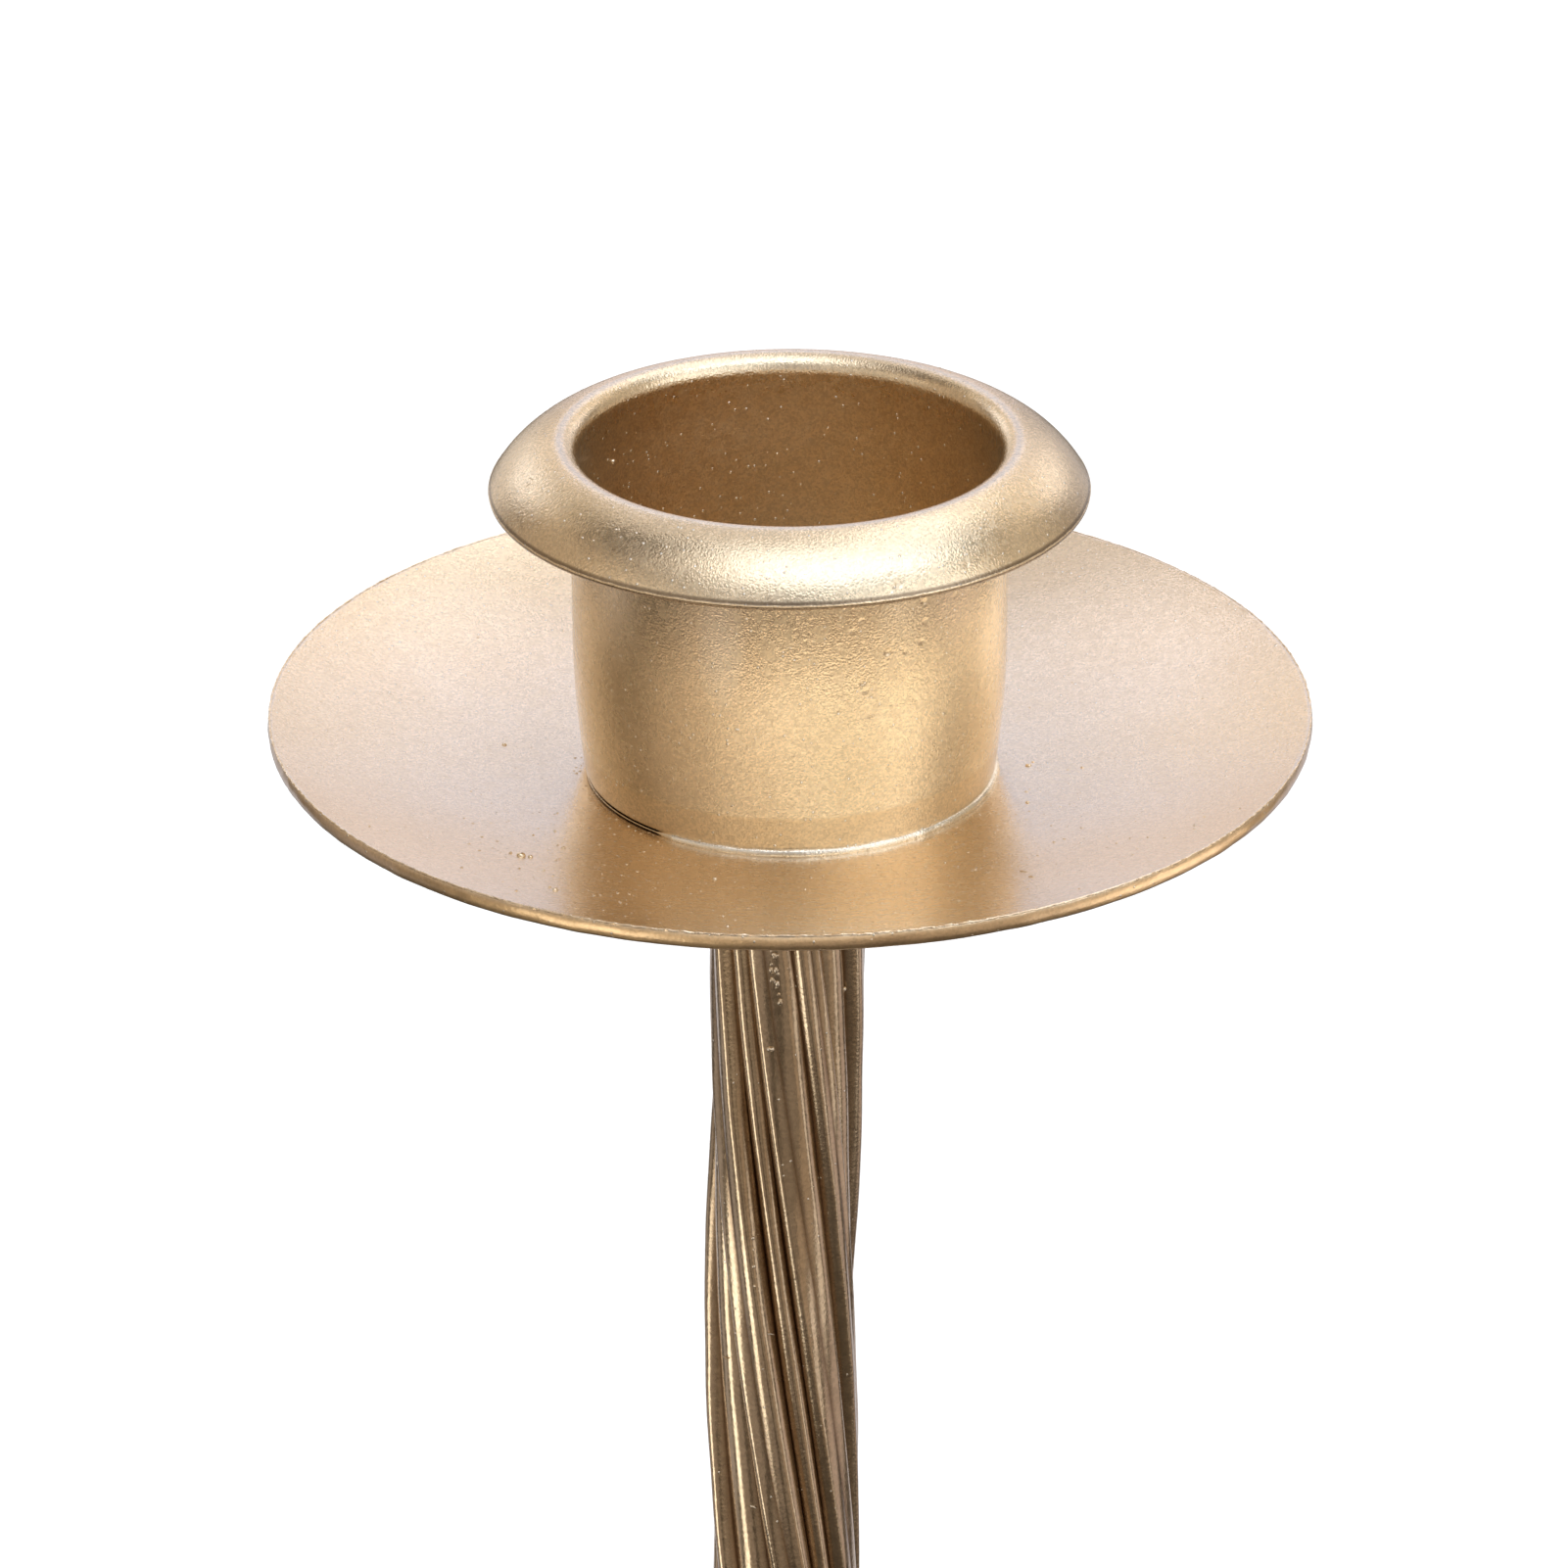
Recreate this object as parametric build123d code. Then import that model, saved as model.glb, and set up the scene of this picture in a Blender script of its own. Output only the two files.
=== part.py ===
from build123d import *

import os
from math import cos, degrees, radians, sin

# Spiral candle holder: a drawn cup for one taper candle, a dished drip pan, a stem of
# strands twisted round a core rod, and a spun foot on four pads. Two screws hold it together.
# Millimetres, +Z up, the origin on the ground under the middle of the foot.

# Pads under the foot
PAD_RADIUS = 4.5
PAD_THICKNESS = 1.5
PAD_EDGE = 0.3
PAD_NAMES = ("right", "back", "left", "front")

# Foot, spun from sheet: a flat ring, an ogee up from it, and a flat seat for the stem
FOOT_RADIUS = 50.0
FOOT_SHEET = 2.0
FOOT_RING_WIDTH = 12.0
FOOT_SEAT_RADIUS = 8.0
FOOT_RISE = 9.0
FOOT_EDGE = 0.5

# Stem
STEM_LENGTH = 205.0
STEM_RADIUS = 4.36
STEM_PITCH = 174.0
CORE_RADIUS = 2.6
STRAND_GAP = 0.04
STRAND_CORNER = 0.38
# The most that a corner may take of its strand's face
STRAND_CORNER_SHARE = 0.36
# Degrees from +X to the first strand's edge at the stem's top
STRAND_PHASE = 124.9
# Each strand's part of the turn, and its height as a part of the stem's radius
STRAND_WIDTH_SHARES = (
    0.0944, 0.0542, 0.0597, 0.0528, 0.0500, 0.0597, 0.0389, 0.0292,
    0.0778, 0.0611, 0.0667, 0.0750, 0.0722, 0.0750, 0.0667, 0.0666,
)
STRAND_HEIGHT_SHARES = (
    0.860, 0.965, 0.990, 0.910, 0.975, 0.965, 1.000, 0.995,
    0.875, 1.000, 0.985, 0.885, 0.985, 0.960, 0.870, 1.000,
)

# Collars that gather the strands' ends, one at each end of the stem
COLLAR_WALL = 1.15
COLLAR_FLOOR = 1.2
COLLAR_DEPTH = 5.4
COLLAR_EDGE = 0.4
COLLAR_GAP = 0.05

# Screws and washers
SCREW_RADIUS = 2.0
SCREW_GRIP = 8.0
SCREW_TIP = 0.4
HEAD_RADIUS = 3.6
HEAD_HEIGHT = 2.4
HEAD_EDGE = 0.9
WASHER_RADIUS = 4.8
WASHER_THICKNESS = 0.8
WASHER_EDGE = 0.15
HOLE_GAP = 0.15
THREAD_GAP = 0.03
TAP_RUNOUT = 2.0

# Drip pan, a shallow dish of sheet with a cut edge
PAN_RADIUS = 28.0
PAN_SHEET = 0.85
PAN_DEPTH = 3.95
PAN_BOW = 0.5
PAN_SEAT_MARGIN = 0.3
PAN_EDGE = 0.2

# Candle cup, drawn from thin sheet: floor, wall and a rim turned out and down
BORE_RADIUS = 11.2
CUP_SHEET = 0.42
CUP_HEIGHT = 19.2
CUP_TUCK_HEIGHT = 8.0
CUP_TUCK = 0.52
CUP_CORNER = 0.62
LIP_RADIUS = 1.0
LIP_TURN = 16.0
RIM_RADIUS = 15.9
RIM_DROP = 2.7
RIM_EDGE = 0.15

# Sizes that follow
SCREW_HOLE = SCREW_RADIUS + HOLE_GAP
COLLAR_RADIUS = STEM_RADIUS + COLLAR_GAP + COLLAR_WALL
CUP_FLOOR_RADIUS = BORE_RADIUS - CUP_TUCK
CUP_FOOT_RADIUS = CUP_FLOOR_RADIUS + CUP_SHEET
PAN_SEAT_RADIUS = CUP_FOOT_RADIUS - CUP_CORNER + PAN_SEAT_MARGIN

# Heights, from the ground up
FOOT_Z = PAD_THICKNESS
FOOT_SEAT_Z = FOOT_Z + FOOT_RISE + FOOT_SHEET
STEM_Z = FOOT_SEAT_Z + COLLAR_FLOOR
STEM_TOP_Z = STEM_Z + STEM_LENGTH
PAN_Z = STEM_TOP_Z + COLLAR_FLOOR
CUP_Z = PAN_Z + PAN_SHEET


def polar(radius, angle):
    """The point at this radius and angle in degrees."""
    return (radius * cos(radians(angle)), radius * sin(radians(angle)))


def lift(shape, height):
    """The shape raised by a height."""
    return Pos(0, 0, height) * shape


def turned(section):
    """The solid that a section in radius and height makes when it is turned round the axis."""
    return revolve(Plane.XZ * section, Axis.Z)


def near_corners(section, point, reach):
    """The section's corners within a reach of a point."""
    return [corner for corner in section.vertices() if (Vector(*corner) - Vector(*point)).length < reach]


def ring(inner, outer, height, edge):
    """A flat ring with its outer edges rounded, standing on zero height."""
    solid = Cylinder(outer, height, align=(Align.CENTER, Align.CENTER, Align.MIN))
    rims = solid.edges().filter_by(GeomType.CIRCLE)
    solid = fillet(rims, edge)
    hole = Cylinder(inner, height, align=(Align.CENTER, Align.CENTER, Align.MIN))
    return solid - hole if inner else solid


def foot_pad(index):
    """One of the pads glued under the foot's flat ring."""
    place = polar(FOOT_RADIUS - FOOT_RING_WIDTH / 2, index * 360 / len(PAD_NAMES))
    return Pos(*place, 0) * ring(0, PAD_RADIUS, PAD_THICKNESS, PAD_EDGE)


def ogee(start, end):
    """Two equal arcs, level at both ends, from one point of a section to another."""
    middle = ((start[0] + end[0]) / 2, (start[1] + end[1]) / 2)
    first = TangentArc(start, middle, tangent=(-1, 0))
    return [first, TangentArc(middle, end, tangent=first % 1)]


def spun_foot():
    """The foot: its underside drawn as one line, and the sheet laid on top of it."""
    ring_end = (FOOT_RADIUS - FOOT_RING_WIDTH, 0)
    seat_end = (FOOT_SEAT_RADIUS, FOOT_RISE)
    line = Wire([
        Line((FOOT_RADIUS, 0), ring_end),
        *ogee(ring_end, seat_end),
        Line(seat_end, (SCREW_HOLE, FOOT_RISE)),
    ])
    section = make_face(offset(line, FOOT_SHEET, side=Side.RIGHT))
    top_corner = near_corners(section, (FOOT_RADIUS, FOOT_SHEET), FOOT_EDGE)
    return turned(fillet(top_corner, FOOT_EDGE))


def collar():
    """A collar on its floor, open upwards, with the screw's hole in the floor."""
    height = COLLAR_FLOOR + COLLAR_DEPTH
    body = ring(SCREW_HOLE, COLLAR_RADIUS, height, COLLAR_EDGE)
    socket = Cylinder(STEM_RADIUS + COLLAR_GAP, COLLAR_DEPTH, align=(Align.CENTER, Align.CENTER, Align.MIN))
    return body - lift(socket, COLLAR_FLOOR)


def core_rod():
    """The rod in the middle of the stem, tapped at both ends."""
    rod = Cylinder(CORE_RADIUS, STEM_LENGTH, align=(Align.CENTER, Align.CENTER, Align.MIN))
    depth = SCREW_GRIP + TAP_RUNOUT
    tap = Cylinder(SCREW_RADIUS + THREAD_GAP, depth, align=(Align.CENTER, Align.CENTER, Align.MIN))
    return rod - tap - lift(tap, STEM_LENGTH - depth)


def strand_section(start, width, crest):
    """A strand's section: a wedge off the core with a crowned face and two rounded corners.

    start and width are in degrees, and crest is the radius of its outer face.
    """
    inner = CORE_RADIUS + STRAND_GAP
    side = degrees(STRAND_GAP / 2 / inner)
    first, last = start + side, start + width - side
    middle = (first + last) / 2
    section = make_face([
        Line(polar(crest, first), polar(inner, first)),
        ThreePointArc(polar(inner, first), polar(inner, middle), polar(inner, last)),
        Line(polar(inner, last), polar(crest, last)),
        ThreePointArc(polar(crest, last), polar(crest, middle), polar(crest, first)),
    ])
    outer = [corner for corner in section.vertices() if Vector(*corner).length > (inner + crest) / 2]
    face_width = crest * radians(last - first)
    return fillet(outer, min(STRAND_CORNER, STRAND_CORNER_SHARE * face_width))


def strands():
    """All the strands, each a wedge twisted round the stem's axis, left-handed going up."""
    twist = 360 * STEM_LENGTH / STEM_PITCH
    start = STRAND_PHASE + twist
    made = []
    for width_share, height_share in zip(STRAND_WIDTH_SHARES, STRAND_HEIGHT_SHARES):
        width = 360 * width_share / sum(STRAND_WIDTH_SHARES)
        section = strand_section(start, width, STEM_RADIUS * height_share)
        made.append(Solid.extrude_linear_with_rotation(
            section.face(), (0, 0, 0), (0, 0, STEM_LENGTH), -twist))
        start += width
    return made


def washer():
    """A washer for either screw, lying on zero height."""
    return ring(SCREW_HOLE, WASHER_RADIUS, WASHER_THICKNESS, WASHER_EDGE)


def screw(clamped):
    """A round-headed screw, its shank down through the clamped thickness and into the core rod."""
    length = clamped + SCREW_GRIP
    shank = Cylinder(SCREW_RADIUS, length, align=(Align.CENTER, Align.CENTER, Align.MAX))
    shank = chamfer(shank.edges().group_by(Axis.Z)[0], SCREW_TIP)
    head = Cylinder(HEAD_RADIUS, HEAD_HEIGHT, align=(Align.CENTER, Align.CENTER, Align.MIN))
    head = fillet(head.edges().group_by(Axis.Z)[-1], HEAD_EDGE)
    return head + shank


def drip_pan():
    """The pan: its upper face drawn as one line, and the sheet hung under it."""
    seat_end = Vector(PAN_SEAT_RADIUS, 0)
    lip = Vector(PAN_RADIUS, PAN_DEPTH)
    chord = lip - seat_end
    below = Vector(chord.Y, -chord.X).normalized() * PAN_BOW
    line = Wire([
        Line((SCREW_HOLE, 0), seat_end),
        ThreePointArc(seat_end, (seat_end + lip) / 2 + below, lip),
    ])
    section = make_face(offset(line, PAN_SHEET, side=Side.RIGHT))
    section &= Rectangle(2 * PAN_RADIUS, 2 * (PAN_DEPTH + PAN_SHEET))
    low_edge = section.vertices().group_by(Axis.X)[-1].sort_by(Axis.Y)[0]
    return turned(fillet(low_edge, PAN_EDGE))


def cup_line():
    """The cup's inner face from the floor's hole up the wall, over the lip and down to the rim's edge."""
    floor_end = (CUP_FLOOR_RADIUS, CUP_SHEET)
    wall_foot = (BORE_RADIUS, CUP_TUCK_HEIGHT)
    wall_top = (BORE_RADIUS, CUP_HEIGHT - LIP_RADIUS)
    lip_middle = (BORE_RADIUS + LIP_RADIUS, CUP_HEIGHT - LIP_RADIUS)
    lip_end = Vector(*lip_middle) + Vector(*polar(LIP_RADIUS, 90 - LIP_TURN))
    lip = CenterArc(lip_middle, LIP_RADIUS, 180, -90 - LIP_TURN)
    tuck = TangentArc(wall_foot, floor_end, tangent=(0, -1))
    rim = TangentArc(lip_end, (RIM_RADIUS, CUP_HEIGHT - RIM_DROP), tangent=polar(1, -LIP_TURN))
    return Wire([Line((SCREW_HOLE, CUP_SHEET), floor_end), tuck, Line(wall_foot, wall_top), lip, rim])


def candle_cup():
    """The cup, turned from one sheet with a rounded foot and rounded rim edges."""
    section = make_face(offset(cup_line(), CUP_SHEET, side=Side.RIGHT, kind=Kind.INTERSECTION))
    inside = near_corners(section, (CUP_FLOOR_RADIUS, CUP_SHEET), CUP_SHEET / 2)
    section = fillet(inside, CUP_CORNER - CUP_SHEET)
    outside = near_corners(section, (CUP_FOOT_RADIUS, 0), CUP_SHEET / 2)
    section = fillet(outside, CUP_CORNER)
    edges = section.vertices().sort_by(Axis.X)[-2:]
    return turned(fillet(edges, RIM_EDGE))


def assembly():
    """Every piece in its place, by the name of its node."""
    pieces = {f"foot_pad_{name}": foot_pad(index) for index, name in enumerate(PAD_NAMES)}
    foot_clamped = WASHER_THICKNESS + FOOT_SHEET + COLLAR_FLOOR
    cup_clamped = WASHER_THICKNESS + CUP_SHEET + PAN_SHEET + COLLAR_FLOOR
    upside_down = Rot(180, 0, 0)
    pieces["spun_foot"] = lift(spun_foot(), FOOT_Z)
    pieces["foot_washer"] = lift(upside_down * washer(), FOOT_Z + FOOT_RISE)
    pieces["foot_screw"] = lift(upside_down * screw(foot_clamped), FOOT_Z + FOOT_RISE - WASHER_THICKNESS)
    pieces["lower_collar"] = lift(collar(), FOOT_SEAT_Z)
    pieces["core_rod"] = lift(core_rod(), STEM_Z)
    for number, strand in enumerate(strands(), start=1):
        pieces[f"stem_strand_{number:02d}"] = lift(strand, STEM_Z)
    pieces["upper_collar"] = lift(upside_down * collar(), PAN_Z)
    pieces["drip_pan"] = lift(drip_pan(), CUP_Z)
    pieces["candle_cup"] = lift(candle_cup(), CUP_Z)
    pieces["cup_washer"] = lift(washer(), CUP_Z + CUP_SHEET)
    pieces["cup_screw"] = lift(screw(cup_clamped), CUP_Z + CUP_SHEET + WASHER_THICKNESS)
    return pieces


os.makedirs("parts", exist_ok=True)
for node, piece in assembly().items():
    export_step(piece, f"parts/{node}.step")
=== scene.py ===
import logging
import math
import random
from dataclasses import dataclass
from enum import Enum

import bmesh
import bpy
from bmesh.types import BMesh, BMVert
from bpy.types import Material, Node, NodeSocket, Object
from mathutils import Matrix, Vector, noise
from mathutils.bvhtree import BVHTree


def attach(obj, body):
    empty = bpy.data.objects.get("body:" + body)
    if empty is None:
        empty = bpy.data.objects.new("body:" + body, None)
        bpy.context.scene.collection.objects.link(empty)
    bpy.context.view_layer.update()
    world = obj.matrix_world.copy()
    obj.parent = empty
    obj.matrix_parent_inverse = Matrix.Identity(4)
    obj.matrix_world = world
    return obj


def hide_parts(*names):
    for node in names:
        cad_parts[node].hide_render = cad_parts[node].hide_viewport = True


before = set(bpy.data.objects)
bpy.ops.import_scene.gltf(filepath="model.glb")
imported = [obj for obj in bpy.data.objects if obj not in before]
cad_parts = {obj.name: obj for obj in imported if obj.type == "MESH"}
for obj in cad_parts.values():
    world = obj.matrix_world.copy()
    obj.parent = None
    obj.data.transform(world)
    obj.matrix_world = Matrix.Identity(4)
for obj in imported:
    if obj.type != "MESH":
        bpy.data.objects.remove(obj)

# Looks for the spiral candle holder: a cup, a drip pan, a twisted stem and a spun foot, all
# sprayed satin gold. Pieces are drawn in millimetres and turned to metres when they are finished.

LOG = logging.getLogger("candle_holder")
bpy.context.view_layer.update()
MM = 0.001
FULL_TURN = math.tau
ALL_ROUND = (-180, 180)

# Points nearer than the seam are merged, and edges bent past the crease are shaded sharp.
SEAM = 1e-4
CREASE = math.radians(38)

# Grains wider than this are drawn with more faces.
ROUND_GRAIN = 0.11

# Where the rays start that settle the grains, in millimetres outside the pan and the cup.
OUTSIDE = 30.0

# What most of a soft noise lies between.
NOISE_RANGE = (0.3, 0.7)

# The pieces that a light panel can be kept to, by the starts of their names.
STEM = ("twisted_strand", "stem_grit", "core_rod", "lower_collar", "upper_collar", "spun_foot")
DISH = ("dished_pan", "pan_edge_burr")

Colour = tuple[float, float, float]
Point = tuple[float, float, float]
Range = tuple[float, float]
Oval = tuple[float, float, float, float]


class Slot(Enum):
    """The record's material slots, which the drawn pieces are passed with but not given."""

    SHEET_GOLD = "sheet_gold"
    STEM_GOLD = "stem_gold"


class Recipe:
    """A material's node tree, with short calls that add its nodes and join them."""

    def __init__(self, name: str) -> None:
        """Starts an empty tree with a Principled shader in its output.

        Args:
            name: The material's name.
        """
        self.material = bpy.data.materials.new(name)
        self.material.use_nodes = True
        self.tree = self.material.node_tree
        self.tree.nodes.clear()
        self.shader = self.tree.nodes.new("ShaderNodeBsdfPrincipled")
        output = self.tree.nodes.new("ShaderNodeOutputMaterial")
        self.tree.links.new(self.shader.outputs["BSDF"], output.inputs["Surface"])
        self.place = self.add("ShaderNodeTexCoord").outputs["Object"]

    def add(self, kind: str, inputs: dict | None = None, **settings: object) -> Node:
        """Adds a node.

        Args:
            kind: The node's type.
            inputs: Values or sockets, by the name or number of the input.
            settings: Values for the node's own properties.

        Returns:
            The node.
        """
        node = self.tree.nodes.new(kind)
        for name, value in settings.items():
            setattr(node, name, value)
        for key, value in (inputs or {}).items():
            self.feed(node.inputs[key], value)
        return node

    def feed(self, target: NodeSocket, value: object) -> None:
        """Joins a socket to an input, or sets the input's own value.

        Args:
            target: The input.
            value: A socket or a plain value.
        """
        if isinstance(value, NodeSocket):
            self.tree.links.new(value, target)
        elif target.type == "RGBA":
            target.default_value = (*value, 1.0)
        else:
            target.default_value = value

    def finish(self, **inputs: object) -> Material:
        """Feeds the shader and gives the material.

        Args:
            inputs: Values or sockets for the shader, with underscores for spaces.

        Returns:
            The material.
        """
        for name, value in inputs.items():
            self.feed(self.shader.inputs[name.replace("_", " ")], value)
        return self.material

    def share(self, name: str) -> NodeSocket:
        """A share from 0 to 1 that the pieces' own points hold, and 0 on a piece without it."""
        return self.add("ShaderNodeAttribute", attribute_name=name).outputs["Fac"]

    def noise(self, per_mm: float, detail: float, where: object = None) -> NodeSocket:
        """Soft noise from 0 to 1, with so many waves to the millimetre."""
        inputs = {"Vector": where or self.place, "Scale": per_mm / MM, "Detail": detail}
        return self.add("ShaderNodeTexNoise", inputs).outputs["Fac"]

    def cells(self, per_mm: float) -> Node:
        """Random cells, with so many to the millimetre."""
        return self.add("ShaderNodeTexVoronoi", {"Vector": self.place, "Scale": per_mm / MM})

    def channel(self, colour: NodeSocket, name: str) -> NodeSocket:
        """One channel of a colour, by its name."""
        return self.add("ShaderNodeSeparateColor", {"Color": colour}).outputs[name]

    def band(self, value: NodeSocket, ends: Range, to: Range = (0.0, 1.0)) -> NodeSocket:
        """A value mapped smoothly from one range to another, and held at its ends."""
        inputs = zip(("Value", "From Min", "From Max", "To Min", "To Max"), (value, *ends, *to))
        node = self.add("ShaderNodeMapRange", dict(inputs), interpolation_type="SMOOTHSTEP")
        return node.outputs["Result"]

    def math(self, operation: str, first: NodeSocket, second: object) -> NodeSocket:
        """Two values put together by a math operation."""
        inputs = {0: first, 1: second}
        return self.add("ShaderNodeMath", inputs, operation=operation).outputs["Value"]

    def blend(self, share: object, *colours: object, mode: str = "MIX") -> NodeSocket:
        """Two colours mixed or multiplied by a share."""
        inputs = {"Fac": share, "Color1": colours[0], "Color2": colours[1]}
        return self.add("ShaderNodeMixRGB", inputs, blend_type=mode).outputs["Color"]

    def relief(self, *layers: tuple[NodeSocket, float]) -> NodeSocket:
        """Bumps the surface by layers laid over one another.

        Args:
            layers: Each layer's height from 0 to 1, and the millimetres that 1 stands for.

        Returns:
            The normal.
        """
        under = {}
        for height, depth in layers:
            inputs = {"Height": height, "Distance": depth * MM, "Strength": 1.0, **under}
            under = {"Normal": self.add("ShaderNodeBump", inputs).outputs["Normal"]}
        return under["Normal"]


@dataclass(frozen=True)
class GoldSpray:
    """Satin gold spray: flake in a clear binder, with a fine grain and dry specks, and with painted
    highlights and painted shade in its colour.
    """

    name: str
    light: Colour
    deep: Colour
    thin_spray_and_shade: Colour
    roughness: float
    coat: float
    grain_depth: float
    specks: float = 0.035
    flakes_per_mm: float = 5.2
    glint: float = 0.08
    bright_glint: float = 0.8
    mottle_per_mm: float = 0.11
    marks_and_painted_light: float = 0.7
    highlight_tone: Colour = (0.97, 0.91, 0.80)
    shade_tone: Colour = (0.16, 0.10, 0.05)
    specks_per_mm: float = 4.4
    speck_highlight_tone: Colour = (1.0, 0.96, 0.88)
    speck_reach: Range = (0.36, 0.16)
    speck_fade: float = 0.004
    speck_depth: float = 0.03
    speck_polish: float = 0.1
    haze_per_mm: float = 1.7
    haze_range: Range = (-0.03, 0.04)
    thin_haze: float = 0.14
    pits_per_mm: float = 1.15
    pit_reach: Range = (0.34, 0.1)
    pit_groups_per_mm: float = 0.5
    pit_group_range: Range = (0.42, 0.6)
    pit_depth: float = 0.1
    dents_per_mm: float = 0.6
    dent_depth: float = 0.004
    coat_roughness: float = 0.17
    coat_index: float = 1.6

    def tone(self, recipe: Recipe, speck: NodeSocket) -> NodeSocket:
        """Mottles the gold, glints its flakes, darkens it where the spray is thin and the stem's
        painted shade, and paints highlights on the specks and marked places and shade where marked.

        Args:
            recipe: The material's node tree.
            speck: Where the specks are.

        Returns:
            The colour.
        """
        mottle = recipe.band(recipe.noise(self.mottle_per_mm, detail=5.0), NOISE_RANGE)
        tone = recipe.blend(mottle, self.light, self.deep)
        flake = recipe.channel(recipe.cells(self.flakes_per_mm).outputs["Color"], "Red")
        ends = (1.0 - self.glint, 1.0 + self.bright_glint * self.glint)
        glint = recipe.band(flake, (0.0, 1.0), ends)
        grey = recipe.add("ShaderNodeCombineColor", dict.fromkeys(("Red", "Green", "Blue"), glint))
        tone = recipe.blend(1.0, tone, grey.outputs["Color"], mode="MULTIPLY")
        # Thin spray darkens the gold a little; on the stem this share is painted shade in the
        # grooves.
        tone = recipe.blend(recipe.share("thin_spray_and_shade"), tone, self.thin_spray_and_shade, mode="MULTIPLY")
        # Painted highlight: the marked places are blended towards a pale tone.
        painted_highlight = recipe.math("MULTIPLY", recipe.share("painted_highlight"), self.marks_and_painted_light)
        tone = recipe.blend(painted_highlight, tone, self.highlight_tone)
        # The raised specks are also painted pale, a painted highlight.
        tone = recipe.blend(speck, tone, self.speck_highlight_tone)
        # Painted shade: the marked places are blended towards a dark brown.
        return recipe.blend(recipe.share("painted_shade"), tone, self.shade_tone)

    def material(self) -> Material:
        """Builds the material, which reads the pieces' own shares of thin spray and shade, painted
        highlight, pits and painted shade.

        Returns:
            The material.
        """
        recipe = Recipe(self.name)
        cell = recipe.cells(self.specks_per_mm)
        pick = recipe.channel(cell.outputs["Color"], "Blue")
        speck = recipe.math(
            "MULTIPLY", recipe.band(pick, (1.0 - self.specks, 1.0 - self.specks + self.speck_fade)),
            recipe.band(cell.outputs["Distance"], self.speck_reach))
        cloud = recipe.noise(self.haze_per_mm, detail=3.0)
        ends = tuple(self.roughness + change for change in self.haze_range)
        polish = recipe.math("MULTIPLY", speck, self.speck_polish)
        rough = recipe.math("SUBTRACT", recipe.band(cloud, NOISE_RANGE, ends), polish)
        thin_spray_and_shade = recipe.math("MULTIPLY", recipe.share("thin_spray_and_shade"), self.thin_haze)
        pits = recipe.band(recipe.cells(self.pits_per_mm).outputs["Distance"], self.pit_reach)
        pits = recipe.math("MULTIPLY", recipe.share("pitted"), pits)
        groups = recipe.noise(self.pit_groups_per_mm, detail=2.0)
        pits = recipe.math("MULTIPLY", pits, recipe.band(groups, self.pit_group_range))
        normal = recipe.relief(
            (recipe.noise(self.dents_per_mm, detail=1.0), self.dent_depth),
            (recipe.math("MULTIPLY", pits, -1.0), self.pit_depth),
            (recipe.noise(self.flakes_per_mm, detail=1.5), self.grain_depth),
            (speck, self.speck_depth))
        return recipe.finish(
            Base_Color=self.tone(recipe, speck), Metallic=1.0,
            Roughness=recipe.math("ADD", rough, thin_spray_and_shade), Normal=normal,
            Coat_Weight=self.coat, Coat_Roughness=self.coat_roughness,
            Coat_IOR=self.coat_index, Coat_Normal=normal)


@dataclass(frozen=True)
class BareMetal:
    """Plain metal with turning marks and a little dirt."""

    name: str
    light: Colour
    deep: Colour
    roughness: float
    dirt_per_mm: float = 0.5
    dirt_range: Range = (0.35, 0.7)
    marks_per_mm: float = 1.0
    mark_stretch: Point = (0.15, 0.15, 6.0)
    mark_depth: float = 0.012
    mark_haze: Range = (-0.08, 0.12)

    def material(self) -> Material:
        """Builds the material.

        Returns:
            The material.
        """
        recipe = Recipe(self.name)
        dirt = recipe.band(recipe.noise(self.dirt_per_mm, detail=5.0), self.dirt_range)
        inputs = {"Vector": recipe.place, "Scale": self.mark_stretch}
        where = recipe.add("ShaderNodeMapping", inputs).outputs["Vector"]
        marks = recipe.noise(self.marks_per_mm, detail=2.0, where=where)
        ends = tuple(self.roughness + change for change in self.mark_haze)
        return recipe.finish(
            Base_Color=recipe.blend(dirt, self.light, self.deep), Metallic=1.0,
            Roughness=recipe.band(marks, NOISE_RANGE, ends),
            Normal=recipe.relief((marks, self.mark_depth)))


@dataclass(frozen=True)
class PressedFelt:
    """Dark felt with a short pressed nap."""

    name: str
    light: Colour
    deep: Colour
    nap_per_mm: float = 2.6
    nap_range: Range = (0.35, 0.65)
    nap_depth: float = 0.12
    roughness: float = 0.95
    sheen: float = 0.4
    sheen_roughness: float = 0.6

    def material(self) -> Material:
        """Builds the material.

        Returns:
            The material.
        """
        recipe = Recipe(self.name)
        nap = recipe.noise(self.nap_per_mm, detail=6.0)
        tone = recipe.blend(recipe.band(nap, self.nap_range), self.light, self.deep)
        return recipe.finish(
            Base_Color=tone, Roughness=self.roughness,
            Normal=recipe.relief((nap, self.nap_depth)),
            Sheen_Weight=self.sheen, Sheen_Roughness=self.sheen_roughness)


@dataclass(frozen=True)
class PaleBackdrop:
    """The studio's plain pale floor and wall, which glow by themselves far from the object."""

    name: str
    tone: Colour
    mottle_per_mm: float = 0.009
    shade: float = 0.97
    roughness: float = 0.9
    glow_range: Range = (0.6, 2.2)

    def material(self) -> Material:
        """Builds the material.

        Returns:
            The material.
        """
        recipe = Recipe(self.name)
        mottle = recipe.noise(self.mottle_per_mm, detail=3.0)
        tone = recipe.blend(mottle, self.tone, tuple(self.shade * c for c in self.tone))
        reach = recipe.add("ShaderNodeVectorMath", {0: recipe.place}, operation="LENGTH")
        glow = recipe.band(reach.outputs["Value"], self.glow_range)
        return recipe.finish(
            Base_Color=tone, Roughness=self.roughness,
            Emission_Color=(1.0, 1.0, 1.0), Emission_Strength=glow)


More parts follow.
